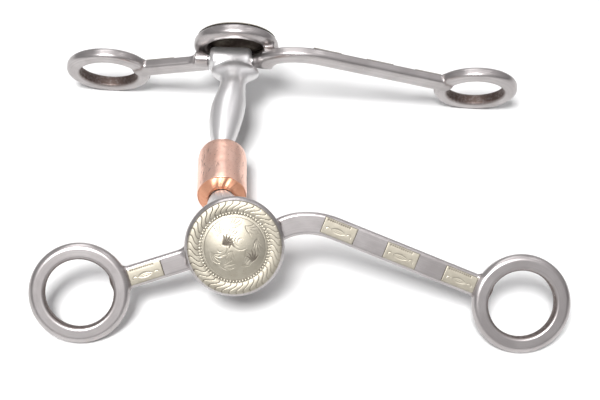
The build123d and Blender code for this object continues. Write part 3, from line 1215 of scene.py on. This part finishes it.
def floor_material():
    """Matt, nearly white floor with faint clouds."""
    nodes = Nodes(bpy.data.materials.new("pale_floor"))
    cloud = nodes.noise(6, 3)
    colour = nodes.mix(cloud, (0.93, 0.93, 0.93), (0.95, 0.95, 0.95))
    surface = nodes.tree.nodes["Principled BSDF"]
    nodes.link(colour, surface.inputs["Base Color"])
    surface.inputs["Roughness"].default_value = 0.9
    surface.inputs["Specular IOR Level"].default_value = 0.1
    return nodes.owner


def build_floor():
    """Pale floor just under the rings."""
    under = cad_box[0].z - floor_gap
    bpy.ops.mesh.primitive_plane_add(size=floor_side, location=(0, 0, under))
    floor = bpy.context.object
    floor.name = "floor"
    floor.data.materials.append(floor_material())


# surround: its strength in mirrors and on matt surfaces, and (place, level) stops of its bands
mirror_strength = 1.05
diffuse_strength = 0.24
lean_to_camera = 0.25
facing_stops = ((0.10, 0.50), (0.95, 1.0))
band_stops = (
    (0.00, 0.50), (0.22, 0.70), (0.32, 0.22), (0.37, 0.95), (0.42, 0.70), (0.46, 1.30),
    (0.56, 1.20), (0.61, 0.28), (0.66, 0.90), (1.00, 0.50),
)
lights = (
    # name, azimuth, elevation, distance in metres, width and height in metres, watts
    ("key", -16.0, 50.0, 3.0, (0.70, 0.70), 112.0),
    ("top", 200.0, 60.0, 1.6, (0.80, 0.80), 3.0),
    ("strip_right", 90.0, 62.0, 1.0, (0.70, 0.07), 0.5),
    ("strip_left", -90.0, 70.0, 1.0, (0.70, 0.07), 0.5),
)


def build_world():
    """Soft surround with lengthwise bands in the mirrors: bright overhead, dim from the side."""
    world = bpy.data.worlds.new("studio")
    bpy.context.scene.world = world
    nodes = Nodes(world)
    background = nodes.tree.nodes["Background"].inputs
    split = nodes.add("ShaderNodeSeparateXYZ")
    nodes.link(nodes.places["Generated"], split.inputs[0])
    across, ahead, up = split.outputs
    facing = nodes.maths("MULTIPLY_ADD", ahead, lean_to_camera, up)
    around = nodes.maths("ARCTAN2", across, up)
    around = nodes.maths("MULTIPLY_ADD", around, 1 / np.pi, 0.5)
    bands = nodes.ramp(around, band_stops)
    tint = nodes.add("ShaderNodeMix", data_type="RGBA", blend_type="MULTIPLY")
    tint.inputs["Factor"].default_value = 1.0
    nodes.link(nodes.ramp(facing, facing_stops), tint.inputs[6])
    nodes.link(bands, tint.inputs[7])
    nodes.link(tint.outputs[2], background["Color"])
    ray = nodes.add("ShaderNodeLightPath").outputs["Is Diffuse Ray"]
    dimmer = diffuse_strength - mirror_strength
    strength = nodes.maths("MULTIPLY_ADD", ray, dimmer, mirror_strength)
    nodes.link(strength, background["Strength"])


def build_lights():
    """Soft rectangular lights aimed at the object's middle; azimuth 0 stands behind the camera."""
    middle = (cad_box[0] + cad_box[1]) / 2
    for name, azimuth, elevation, distance, size, power in lights:
        data = bpy.data.lights.new(name, "AREA")
        data.shape = "RECTANGLE"
        data.size, data.size_y = size
        data.energy = power
        lamp = bpy.data.objects.new(name, data)
        turn, lift = np.radians(azimuth), np.radians(elevation)
        flat = np.cos(lift)
        back = Vector((np.sin(turn) * flat, -np.cos(turn) * flat, np.sin(lift)))
        lamp.location = middle + back * distance
        lamp.rotation_euler = (-back).to_track_quat("-Z", "Y").to_euler()
        bpy.context.scene.collection.objects.link(lamp)


# angles in degrees, place in metres from the middle of the frame
camera_azimuth = 3.89
camera_elevation = 38.67
camera_roll = 4.02
camera_lens = 88.75
camera_shift = (0.0179, 0.0087)
camera_from_middle = (-0.03518, -0.48398, 0.38924)


def build_camera():
    """Camera at the photographed angle, held slightly tilted."""
    azimuth, elevation, roll = np.radians((camera_azimuth, camera_elevation, camera_roll))
    flat = np.cos(elevation)
    ahead = Vector((np.sin(azimuth) * flat, np.cos(azimuth) * flat, -np.sin(elevation)))
    level = Vector((np.cos(azimuth), -np.sin(azimuth), 0))
    right = level * np.cos(roll) + level.cross(ahead) * np.sin(roll)
    up = right.cross(ahead)
    data = bpy.data.cameras.new("camera")
    data.lens = camera_lens
    data.shift_x, data.shift_y = camera_shift
    data.clip_start, data.clip_end = 0.01, 20
    camera = bpy.data.objects.new("camera", data)
    turn = Matrix((right, up, -ahead)).transposed().to_4x4()
    camera.matrix_world = Matrix.Translation(Vector(camera_from_middle)) @ turn
    bpy.context.scene.collection.objects.link(camera)
    bpy.context.scene.camera = camera


# ---- the object
for side in ("right", "left"):
    build_cheek(side)
    build_arm(side, has_fork=side == "right")
    build_concho(side)
    for name in overlay_names:
        build_overlay(side, name)
build_roller()
for name in ("right_hinge_pin", "left_hinge_pin", "joint_pin"):
    pin = frame["nodes"][name].data
    pin.materials.clear()
    pin.materials.append(steel("pin_steel"))

build_floor()
build_world()
build_lights()
build_camera()
bpy.context.scene.view_settings.view_transform = "Standard"
